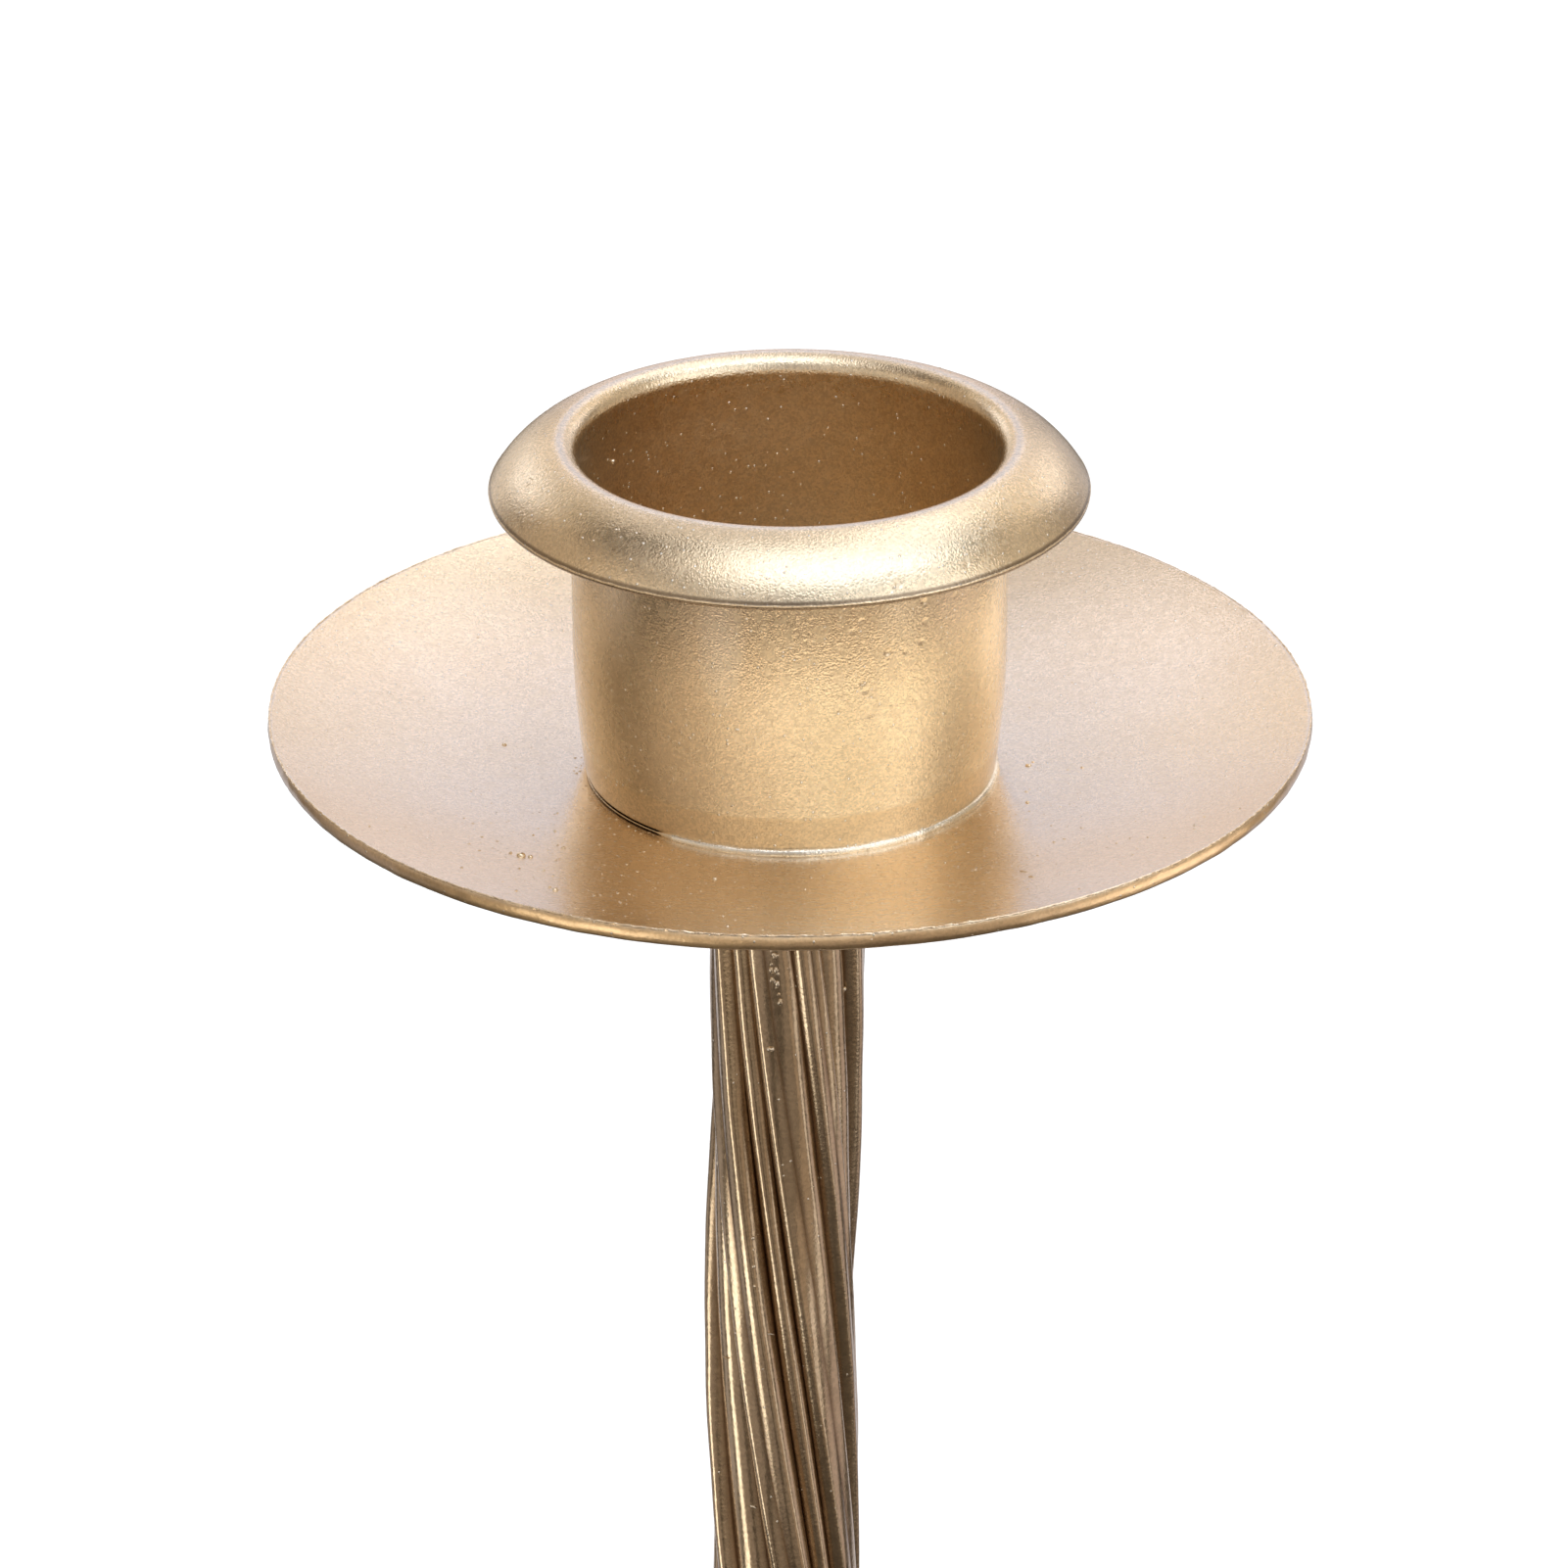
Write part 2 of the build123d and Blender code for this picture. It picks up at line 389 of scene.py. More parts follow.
def sweep(mesh: BMesh, turn: float, rise: float, steps: int, doublings: int = 4) -> None:
    """Sweeps a mesh's edges round and up the axis: a short spin, then copies of it set end to end.

    Args:
        mesh: The mesh, which holds the section.
        turn: The whole turn in radians.
        rise: The whole rise.
        steps: How many steps the sweep has, which the short spin's share divides.
        doublings: How many times the short spin is doubled.
    """
    parts = 2 ** doublings
    bmesh.ops.spin(
        mesh, geom=mesh.verts[:] + mesh.edges[:], cent=(0, 0, 0), axis=(0, 0, 1),
        angle=turn / parts, dvec=(0, 0, rise / steps), steps=steps // parts)
    for doubling in range(doublings):
        share = 2 ** doubling / parts
        copy = bmesh.ops.duplicate(mesh, geom=mesh.verts[:] + mesh.edges[:] + mesh.faces[:])
        points = [item for item in copy["geom"] if isinstance(item, BMVert)]
        bmesh.ops.rotate(mesh, verts=points, matrix=Matrix.Rotation(turn * share, 3, "Z"))
        bmesh.ops.translate(mesh, verts=points, vec=(0, 0, rise * share))
    bmesh.ops.remove_doubles(mesh, verts=mesh.verts, dist=SEAM)


class Section:
    """A section in radius and height, drawn run by run with bmesh operators."""

    def __init__(self, radius: float, height: float) -> None:
        """Starts at a point, by its distance from the axis and its height."""
        self.mesh = bmesh.new()
        self.first = self.tip = self.mesh.verts.new((radius, 0.0, height))

    def line(self, radius: float, height: float, parts: int) -> None:
        """Draws a straight run to a point.

        Args:
            radius: The point's distance from the axis.
            height: The point's height.
            parts: How many edges the run has.
        """
        step = (Vector((radius, 0.0, height)) - self.tip.co) / parts
        for _ in range(parts):
            self.tip = bmesh.ops.extrude_vert_indiv(self.mesh, verts=[self.tip])["verts"][0]
            bmesh.ops.translate(self.mesh, verts=[self.tip], vec=step)

    def arc(self, radius: float, height: float, heading: float, parts: int) -> None:
        """Draws an arc to a point.

        Args:
            radius: The point's distance from the axis.
            height: The point's height.
            heading: The arc's direction where it starts, in radians from outwards.
            parts: How many edges the arc has.
        """
        chord = Vector((radius, 0.0, height)) - self.tip.co
        slant = math.remainder(math.atan2(chord.z, chord.x) - heading, FULL_TURN)
        reach = chord.length / (2 * math.sin(slant))
        centre = self.tip.co + reach * Vector((-math.sin(heading), 0.0, math.cos(heading)))
        made = bmesh.ops.spin(
            self.mesh, geom=[self.tip], cent=centre, axis=(0, -1, 0), angle=2 * slant, steps=parts)
        self.tip = made["geom_last"][0]

    def turned(self, steps: int) -> BMesh:
        """Closes the section and turns it full circle round the axis.

        Args:
            steps: How many steps the circle has.

        Returns:
            The closed mesh, its faces outwards.
        """
        self.mesh.edges.new((self.tip, self.first))
        sweep(self.mesh, FULL_TURN, 0.0, steps)
        bmesh.ops.recalc_face_normals(self.mesh, faces=self.mesh.faces)
        return self.mesh


def bow_heading(start: Range, end: Range, bow: float) -> float:
    """The heading, in radians from outwards, of an arc that bows so far right of its chord."""
    run, rise = end[0] - start[0], end[1] - start[1]
    return math.atan2(rise, run) - 2 * math.atan(2 * bow / math.hypot(run, rise))


def azimuth(point: Vector) -> float:
    """A point's angle round the axis in degrees from the front, positive to the right."""
    return math.degrees(math.atan2(point.x, -point.y))


def around(radius: float, degrees_from_front: float, height: float) -> Vector:
    """The point at a radius and a height, so many degrees from the front."""
    angle = math.radians(degrees_from_front)
    return Vector((radius * math.sin(angle), -radius * math.cos(angle), height))


def held(value: float) -> float:
    """A value held between nought and one."""
    return max(0.0, min(1.0, value))


def patch(oval: Oval, side: float, height: float) -> float:
    """The share, at an azimuth and a height, of an oval patch with this middle and half sizes."""
    off = ((side - oval[0]) / oval[2], (height - oval[1]) / oval[3])
    return max(0.0, 1 - off[0] ** 2 - off[1] ** 2)


@dataclass(frozen=True)
class Fade:
    """A share that goes from nought to one over a stretch, backwards where it is negative."""

    start: float
    stretch: float

    def at(self, value: float) -> float:
        """The share at a value."""
        return held((value - self.start) / self.stretch)


@dataclass(frozen=True)
class Grain:
    """A grain of paint or grit on a surface.

    It has its azimuth and its place along the surface, its half width and half height, and, where
    they differ, its half length, its heading and how far it is painted pale as a highlight.
    """

    azimuth: float
    along: float
    size: float
    height: float
    length: float = 0.0
    heading: float = 0.0
    painted_highlight: float = 0.0

    def settle(self, mesh: BMesh, tree: BVHTree, start: Vector, way: Vector) -> None:
        """Sits the grain, half sunk, where a ray meets the surface.

        Args:
            mesh: The mesh of grains, with its painted highlight layer.
            tree: The surface.
            start: Where the ray starts.
            way: Where it goes.
        """
        place, normal, _, _ = tree.ray_cast(start, way)
        if place is None:
            return
        normal = -normal if normal.dot(way) > 0 else normal
        upright = normal.to_track_quat("Z", "Y").to_matrix().to_4x4()
        turn = upright @ Matrix.Rotation(math.radians(self.heading), 4, "Z")
        shape = Matrix.Diagonal((self.length or self.size, self.size, self.height, 1.0))
        made = bmesh.ops.create_icosphere(
            mesh, subdivisions=2 if self.size > ROUND_GRAIN else 1, radius=1.0,
            matrix=Matrix.Translation(place) @ turn @ shape)
        for vert in made["verts"]:
            vert[mesh.verts.layers.float["painted_highlight"]] = self.painted_highlight


@dataclass(frozen=True)
class Strewn:
    """Grains strewn evenly: how many, their seed, where they lie and their biggest half width."""

    count: int
    seed: int
    spread: Range
    along: Range
    size: float
    smallest: float = 0.35
    flatness: Range = (0.5, 0.9)

    def grains(self) -> list[Grain]:
        """Draws the grains, most of them small and dull.

        Returns:
            The grains.
        """
        pick = random.Random(self.seed)
        made = []
        for _ in range(self.count):
            half = self.size * (self.smallest + (1 - self.smallest) * pick.random() ** 2)
            side, along = pick.uniform(*self.spread), pick.uniform(*self.along)
            height = half * pick.uniform(*self.flatness)
            # Each grain is painted pale by a random share, a painted highlight.
            made.append(Grain(side, along, half, height, painted_highlight=pick.random() ** 2))
        return made


def loose(single: tuple[Grain, ...], strewn: tuple[Strewn, ...]) -> list[Grain]:
    """A surface's grains, the single ones first and then the strewn ones."""
    return [*single, *(grain for lot in strewn for grain in lot.grains())]


def blank() -> BMesh:
    """An empty mesh with the layer for its painted highlight shares."""
    mesh = bmesh.new()
    mesh.verts.layers.float.new("painted_highlight")
    return mesh


@dataclass(frozen=True)
class Hoop:
    """A thin round ring along an edge: how far in and down it lies, and its section's radius."""

    inset: float
    drop: float
    size: float
    steps: int
    sides: int = 8

    def mesh(self, radius: float, height: float) -> BMesh:
        """Draws the ring.

        Args:
            radius: The edge's radius.
            height: The edge's height.

        Returns:
            The ring's closed mesh, with its painted highlight layer.
        """
        mesh = blank()
        place = Matrix.Translation((radius - self.inset, 0.0, height - self.drop))
        bmesh.ops.create_circle(
            mesh, segments=self.sides, radius=self.size,
            matrix=place @ Matrix.Rotation(math.pi / 2, 4, "X"))
        sweep(mesh, FULL_TURN, 0.0, self.steps)
        bmesh.ops.recalc_face_normals(mesh, faces=mesh.faces)
        return mesh


def finished(
    name: str, mesh: BMesh, base: float, material: Material, slot: Slot, *nodes: str,
) -> None:
    """Turns a mesh in millimetres into a piece of the scene.

    Args:
        name: The piece's name.
        mesh: The mesh, which is freed.
        base: How high it is lifted.
        material: The piece's material.
        slot: The record's slot for its finish; it is not used.
        nodes: The CAD nodes that it stands for.
    """
    bmesh.ops.translate(mesh, verts=mesh.verts, vec=(0, 0, base))
    bmesh.ops.scale(mesh, vec=(MM, MM, MM), verts=mesh.verts)
    for face in mesh.faces:
        face.smooth = True
    for edge in mesh.edges:
        edge.smooth = len(edge.link_faces) != 2 or edge.calc_face_angle(0.0) < CREASE
    data = bpy.data.meshes.new(name)
    mesh.to_mesh(data)
    mesh.free()
    data.materials.append(material)
    piece = bpy.data.objects.new(name, data)
    bpy.context.scene.collection.objects.link(piece)
    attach(piece, "root")
    if nodes:
        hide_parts(*nodes)
    LOG.info("%s: %d faces", name, len(data.polygons))


# Each row: azimuth, place, half width, half height, then half length, heading and painted highlight
# share where given.
PAN_GRAINS = tuple(Grain(*row) for row in (
    (-44.9, 19.84, 0.25, 0.20), (-43.9, 19.5, 0.14, 0.12), (-46.4, 20.1, 0.10, 0.10),
    (-31.4, 23.12, 0.16, 0.12), (-32.6, 22.9, 0.09, 0.08), (-94.9, 15.53, 0.14, 0.10),
    (-45.2, 16.75, 0.12, 0.08), (-14.6, 15.61, 0.13, 0.11), (-25.1, 20.89, 0.10, 0.08),
    (-22.7, 22.53, 0.10, 0.08), (-32.3, 15.97, 0.10, 0.08), (66.5, 13.75, 0.12, 0.09),
    (83.2, 15.78, 0.10, 0.08), (87.3, 12.85, 0.18, 0.10), (88.9, 13.1, 0.09, 0.07),
    (33.0, 17.6, 0.06, 0.05, 0.42, 48.0, 0.8), (35.2, 18.1, 0.05, 0.05, 0.36, 66.0, 1.0),
    (36.4, 20.2, 0.05, 0.05, 0.30, 100.0, 0.4), (35.3, 21.4, 0.08, 0.06, 0.22, 112.0),
))


@dataclass
class DripPan:
    """The drip pan, a shallow dish with a sheared edge."""

    base: float = 220.75
    hole: float = 2.15
    seat_radius: float = 10.78
    radius: float = 28.0
    sheet: float = 0.85
    depth: float = 3.95
    bow: float = 0.5
    edge_reach: float = 0.4
    corner_reach: float = 0.2
    corner_drop: float = 0.16
    top_inset: float = 0.04
    low_inset: float = 0.03
    edge_belly: float = 0.32
    marked_reach: float = 0.25
    waver: float = 0.03
    waver_per_mm: float = 0.9
    ripple: float = 0.02
    ripple_per_mm: float = 0.7
    bared: Fade = Fade(0.12, 0.2)
    foot: Fade = Fade(0.6, 0.15)
    bared_dark: float = 0.22
    foot_shade: float = 0.38
    hoop: Hoop = Hoop(0.09, 0.09, 0.058, 2048)
    burr_least: float = 0.35
    burr_side: float = 0.02
    burr_gaps: float = 1.6
    burr_gaps_per_mm: float = 0.05
    burr_teeth_per_mm: Range = (2.3, 5.1)
    burr_waver_per_mm: float = 3.1
    burr_fine: float = 0.6
    burr_jag: float = 0.045
    burr_waver: float = 0.05
    burr_highlight: float = 0.3
    steps: int = 720
    grains: tuple[Grain, ...] = PAN_GRAINS
    strewn: tuple[Strewn, ...] = (
        Strewn(34, 8, (-96, -40), (11.15, 11.7), 0.11),
        Strewn(260, 29, (-62, 62), (11.6, 27.0), 0.095),
        Strewn(90, 5, ALL_ROUND, (12.5, 27.2), 0.085),
    )

    def section(self) -> Section:
        """Draws the dish's upper face, the cut edge and the underside.

        Returns:
            The open section.
        """
        seat, lip = (self.seat_radius, 0.0), (self.radius, self.depth)
        heading = bow_heading(seat, lip, self.bow)
        slope = 2 * math.atan2(lip[1] - seat[1], lip[0] - seat[0]) - heading
        fall = math.tan(slope)
        under = (self.radius, self.depth - self.sheet / math.cos(slope))
        under_seat = (self.seat_radius, -self.sheet)
        inner = (self.radius - self.edge_reach, self.depth - self.edge_reach * fall)
        corner = self.corner_reach
        pen = Section(self.hole, 0.0)
        pen.line(*seat, 8)
        pen.arc(*inner, bow_heading(seat, inner, self.bow), 60)
        pen.line(self.radius - corner, self.depth - corner * fall, 3)
        pen.arc(self.radius - self.top_inset, self.depth - self.corner_drop, slope, 5)
        pen.arc(
            self.radius - self.low_inset, under[1] + self.corner_drop,
            self.edge_belly - math.pi / 2, 8)
        pen.arc(self.radius - corner, under[1] - corner * fall, -math.pi / 2, 5)
        pen.arc(*under_seat, math.pi + bow_heading(under_seat, under, -self.bow), 30)
        pen.line(self.hole, -self.sheet, 4)
        return pen

    def roughen_edge(self, mesh: BMesh) -> None:
        """Gives the cut edge its slight waves, its thinner spray, darkened partly as painted shade,
        and the painted shade at its foot.

        Args:
            mesh: The pan's mesh.
        """
        thin_spray_and_shade, painted_shade = (mesh.verts.layers.float.new(name) for name in ("thin_spray_and_shade", "painted_shade"))
        for vert in mesh.verts:
            if vert.co.xy.length > self.radius - self.marked_reach:
                waver = noise.noise(vert.co * self.waver_per_mm)
                vert.co.xy *= 1 + self.waver / self.radius * waver
                vert.co.z += self.ripple * noise.noise(vert.co * self.ripple_per_mm)
                drop = self.depth - vert.co.z
                vert[thin_spray_and_shade] = self.bared.at(drop)
                # Below its top the cut edge is darkened, partly painted shade, and darkest at its
                # foot where it turns under: painted shade.
                vert[painted_shade] = self.bared_dark * vert[thin_spray_and_shade] + self.foot_shade * self.foot.at(drop)

    def burr(self) -> BMesh:
        """Draws the jagged burr along the top of the cut edge, rougher on the left.

        Returns:
            The burr's closed mesh.
        """
        mesh = self.hoop.mesh(self.radius, self.depth)
        for vert in mesh.verts:
            gaps = self.burr_gaps * noise.noise(vert.co * self.burr_gaps_per_mm)
            share = held(0.5 - gaps - self.burr_side * vert.co.x)
            rough = self.burr_least + (1 - self.burr_least) * share
            broad, fine = (noise.noise(vert.co * pace) for pace in self.burr_teeth_per_mm)
            jag = broad + self.burr_fine * fine
            vert.co.z += self.burr_jag * rough * jag
            waver = self.burr_waver * rough * noise.noise(vert.co * self.burr_waver_per_mm)
            vert.co.xy *= 1 + waver / self.radius
            # The burr's peaks are painted pale, a painted highlight, strongest where the burr is
            # roughest.
            vert[mesh.verts.layers.float["painted_highlight"]] = self.burr_highlight * rough * max(0.0, jag)
        return mesh

    def build(self, material: Material) -> None:
        """Builds the pan, its burr and its grit.

        Args:
            material: Their finish.
        """
        pan, burr, grit = self.section().turned(self.steps), self.burr(), blank()
        tree = BVHTree.FromBMesh(pan)
        self.roughen_edge(pan)
        for grain in loose(self.grains, self.strewn):
            start = around(grain.along, grain.azimuth, OUTSIDE)
            grain.settle(grit, tree, start, Vector((0, 0, -1)))
        finished("pan_edge_burr", burr, self.base, material, Slot.SHEET_GOLD)
        finished("pan_grit", grit, self.base, material, Slot.SHEET_GOLD)
        finished("dished_pan", pan, self.base, material, Slot.SHEET_GOLD, "drip_pan")


# The last column is how far each grain is painted pale, a painted highlight.
INNER_GRAINS = tuple(Grain(*row) for row in (
    (-122.2, 15.3, 0.13, 0.10, 0.0, 0.0, 1.0), (-123.0, 15.9, 0.07, 0.06, 0.0, 0.0, 1.0),
    (-158.0, 13.0, 0.08, 0.06, 0.0, 0.0, 1.0), (141.0, 11.2, 0.07, 0.06, 0.0, 0.0, 0.8),
))
RIM_GRAINS = tuple(Grain(*row) for row in (
    (-74.2, 14.04, 0.025, 0.03, 0.34, 20.0, 1.0), (-72.6, 14.3, 0.025, 0.03, 0.22, 80.0, 1.0),
))


@dataclass
class CandleCup:
    """The candle cup: floor, wall, lip, and a rim turned out and down."""

    base: float = 220.75
    hole: float = 2.15
    bore: float = 11.2
    sheet: float = 0.42
    height: float = 19.2
    tuck: float = 0.52
    tuck_height: float = 8.0
    corner: float = 0.62
    inner_corner: float = 0.2
    lip: float = 1.0
    lip_turn: float = 16.0
    rim_radius: float = 15.9
    rim_drop: float = 2.7
    steps: int = 432
    bore_skin: float = 0.1
    inside_thin: Fade = Fade(0.0, 3.0)
    pits: Oval = (24, 13, 26, 5.5)
    wall_highlight: Oval = (-18, 12, 7, 4)
    wall_highlight_share: float = 0.5
    gap_shadow_height: float = 0.5
    gap_shadow: Fade = Fade(31.0, -6.0)
    rim_end_reach: float = 0.11
    rim_end_rise: float = 0.3
    rim_end_shade: float = 0.8
    open_azimuth: float = -67.0
    bead: Hoop = Hoop(0.1, -0.13, 0.27, 960, 12)
    bead_full: Fade = Fade(27.0, 6.0)
    bead_lumps: float = 0.22
    bead_lumps_per_mm: float = 0.8
    bead_least: float = 0.12
    burr: Hoop = Hoop(0.05, 0.06, 0.085, 1024)
    burr_waver: float = 0.02
    burr_waver_per_mm: float = 1.7
    wall_grit: tuple[Strewn, ...] = (
        Strewn(40, 21, ALL_ROUND, (1.5, 17.0), 0.07),
        Strewn(150, 33, (-85, 75), (0.8, 18), 0.062),
    )
    inner_grains: tuple[Grain, ...] = INNER_GRAINS
    inner_grit: tuple[Strewn, ...] = (Strewn(30, 12, ALL_ROUND, (3, 18), 0.07),)
    rim_grains: tuple[Grain, ...] = RIM_GRAINS
    rim_grit: tuple[Strewn, ...] = (Strewn(46, 3, ALL_ROUND, (12.3, 15.6), 0.06),)

    def section(self) -> Section:
        """Draws the inner face and the rim's top, then the rim's underside and the outer face.

        Returns:
            The open section.
        """
        floor_end = self.bore - self.tuck
        wall_top = self.height - self.lip
        lip_middle = self.bore + self.lip
        turn = math.radians(self.lip_turn)
        lip_end = (lip_middle + self.lip * math.sin(turn), wall_top + self.lip * math.cos(turn))
        rim_end = (self.rim_radius, self.height - self.rim_drop)
        chord = math.atan2(rim_end[1] - lip_end[1], rim_end[0] - lip_end[0])
        last = 2 * chord + turn
        under = (
            rim_end[0] + self.sheet * math.sin(last), rim_end[1] - self.sheet * math.cos(last))
        small = self.lip - self.sheet
        under_lip = (lip_middle + small * math.sin(turn), wall_top + small * math.cos(turn))
        outer = self.bore + self.sheet
        foot = floor_end + self.sheet
        corner_top = self.sheet + self.inner_corner
        lean = math.pi / 2 - 2 * math.atan2(self.tuck, self.tuck_height - corner_top)
        pen = Section(self.hole, self.sheet)
        pen.line(floor_end - self.inner_corner, self.sheet, 6)
        pen.arc(floor_end, corner_top, 0.0, 3)
        pen.arc(self.bore, self.tuck_height, lean, 16)
        pen.line(self.bore, wall_top, 20)
        pen.arc(*lip_end, math.pi / 2, 14)
        pen.arc(*rim_end, -turn, 34)
        pen.arc(*under, last, 6)
        pen.arc(*under_lip, math.pi + last, 24)
        pen.arc(outer, wall_top, math.pi - turn, 10)
        pen.line(outer, self.tuck_height, 44)
        pen.arc(foot, self.corner, -math.pi / 2, 34)
        pen.arc(foot - self.corner, 0.0, -math.pi / 2, 6)
        pen.line(self.hole, 0.0, 4)
        return pen

    def marks_and_painted_light(self, mesh: BMesh) -> None:
        """Marks where the spray is thin and where it is pitted, and paints a highlight streak on
        the wall, a shadow in the gap at the foot and shade on the rim's cut edge.

        Args:
            mesh: The cup's mesh.
        """
        thin_spray_and_shade, painted_highlight, pitted, painted_shade = (
            mesh.verts.layers.float.new(name) for name in ("thin_spray_and_shade", "painted_highlight", "pitted", "painted_shade"))
        wall_top, rim_end = self.height - self.lip, self.height - self.rim_drop
        for vert in mesh.verts:
            side, height, reach = azimuth(vert.co), vert.co.z, vert.co.xy.length
            if reach < self.bore + self.bore_skin and height > self.sheet / 2:
                vert[thin_spray_and_shade] = self.inside_thin.at(wall_top - height)
            elif height < wall_top:
                vert[pitted] = patch(self.pits, side, height)
                # A painted highlight: a bright streak on the wall's front left, painted pale.
                vert[painted_highlight] = self.wall_highlight_share * patch(self.wall_highlight, side, height)
                # Painted shadow in the gap at the cup's foot on the left, where the bead of paint
                # thins out.
                if height < self.gap_shadow_height:
                    vert[painted_shade] = self.gap_shadow.at(abs(side - self.open_azimuth))
            # Painted shade along the rim's cut edge, near its lower corner.
            at_end = reach > self.rim_radius - self.rim_end_reach
            if at_end and height < rim_end + self.rim_end_rise:
                vert[painted_shade] = self.rim_end_shade

    def foot_bead(self) -> BMesh:
        """Draws the bead of paint round the cup's foot, which thins out for a stretch on the left.

        Returns:
            The bead's closed mesh.
        """
        foot = self.bore - self.tuck + self.sheet
        open_side = around(1.0, self.open_azimuth, 0.0).xy
        mesh = self.bead.mesh(foot, 0.0)
        for vert in mesh.verts:
            lumps = 1 + self.bead_lumps * noise.noise(vert.co * self.bead_lumps_per_mm)
            full = lumps * self.bead_full.at(math.degrees(open_side.angle(vert.co.xy)))
            middle = vert.co.xy.normalized() * (foot - self.bead.inset)
            centre = Vector((*middle, -self.bead.drop))
            size = self.bead_least + (1 - self.bead_least) * full
            vert.co = centre + (vert.co - centre) * size
            # The bead is painted pale where it is full, a painted highlight.
            vert[mesh.verts.layers.float["painted_highlight"]] = min(1.0, full)
        return mesh

    def rim_burr(self) -> BMesh:
        """Draws the fine burr along the rim's cut edge.

        Returns:
            The burr's closed mesh.
        """
        mesh = self.burr.mesh(self.rim_radius, self.height - self.rim_drop)
        for vert in mesh.verts:
            vert.co.z += self.burr_waver * noise.noise(vert.co * self.burr_waver_per_mm)
        return mesh

    def build(self, material: Material) -> None:
        """Builds the cup, its burr, the bead of paint round its foot and its grit.

        Args:
            material: Their finish.
        """
        cup, burr, bead = self.section().turned(self.steps), self.rim_burr(), self.foot_bead()
        grit, tree = blank(), BVHTree.FromBMesh(cup)
        self.marks_and_painted_light(cup)
        for grain in loose((), self.wall_grit):
            start = around(OUTSIDE, grain.azimuth, grain.along)
            grain.settle(grit, tree, start, -around(1, grain.azimuth, 0))
        for grain in loose(self.inner_grains, self.inner_grit):
            grain.settle(grit, tree, Vector((0, 0, grain.along)), around(1, grain.azimuth, 0))
        for grain in loose(self.rim_grains, self.rim_grit):
            start = around(grain.along, grain.azimuth, OUTSIDE)
            grain.settle(grit, tree, start, Vector((0, 0, -1)))
        finished("rim_edge_burr", burr, self.base, material, Slot.SHEET_GOLD)
        finished("cup_foot_bead", bead, self.base, material, Slot.SHEET_GOLD)
        finished("cup_grit", grit, self.base, material, Slot.SHEET_GOLD)
        finished("drawn_cup", cup, self.base, material, Slot.SHEET_GOLD, "candle_cup")


@dataclass(frozen=True)
class Drift:
    """A slow random drift up the stem, its own for each strand: its size and its pace.

    The step and the lane say where in the noise each strand's drift lies.
    """

    size: float
    per_mm: float
    step: float
    lane: float

    def at(self, number: int, height: float) -> float:
        """The drift of a strand at a height."""
        place = Vector((self.step * number, self.lane, height * self.per_mm))
        return self.size * noise.noise(place)


@dataclass(frozen=True)
class DryStreak:
    """A ragged streak of rough dry paint down the stem: its place, and its grains' sizes."""

    count: int = 70
    seed: int = 31
    azimuth: float = -14.8
    slant: float = 4.0
    spread: float = 3.2
    top: float = 202.0
    fall: float = 7.5
    half_width: Range = (0.05, 0.13)
    flatness: float = 0.8
    stretch: Range = (1.0, 2.2)

    def grains(self) -> list[Grain]:
        """Draws the streak's grains, each of them longer down the stem than across it.

        Returns:
            The grains.
        """
        pick = random.Random(self.seed)
        made = []
        for _ in range(self.count):
            down = pick.random()
            side = self.azimuth + self.slant * down + pick.uniform(-self.spread, self.spread)
            half = pick.uniform(*self.half_width)
            length = half * pick.uniform(*self.stretch)
            # Each grain is painted pale by a random share, a painted highlight.
            made.append(Grain(
                side, self.top - self.fall * down, half, half * self.flatness, length, 90.0,
                pick.random()))
        return made


# The last column is how far each grain is painted pale, a painted highlight.
STEM_GRAINS = tuple(Grain(*row) for row in (
    (-15.3, 191.9, 0.17, 0.14, 0.24, 0.0, 0.7), (57.7, 194.4, 0.15, 0.13, 0.0, 0.0, 0.8),
    (-78.0, 183.0, 0.14, 0.12, 0.0, 0.0, 0.8), (-29.6, 179.9, 0.13, 0.12, 0.0, 0.0, 0.7),
    (-28.8, 179.2, 0.10, 0.09, 0.0, 0.0, 0.5), (-28.0, 178.2, 0.12, 0.10, 0.0, 0.0, 0.6),
    (-27.0, 177.0, 0.09, 0.08, 0.0, 0.0, 0.6), (-1.7, 180.1, 0.14, 0.12, 0.0, 0.0, 0.7),
    (-2.5, 181.0, 0.07, 0.06, 0.0, 0.0, 0.8), (-26.0, 171.7, 0.11, 0.10, 0.0, 0.0, 0.6),
    (-62.0, 171.2, 0.07, 0.09, 0.40, 12.0, 0.4), (-17.8, 173.9, 0.07, 0.09, 0.36, 0.0, 0.3),
    (-11.0, 172.7, 0.07, 0.07, 0.20, 40.0, 0.3), (-35.5, 162.1, 0.07, 0.09, 0.30, -10.0, 0.6),
))


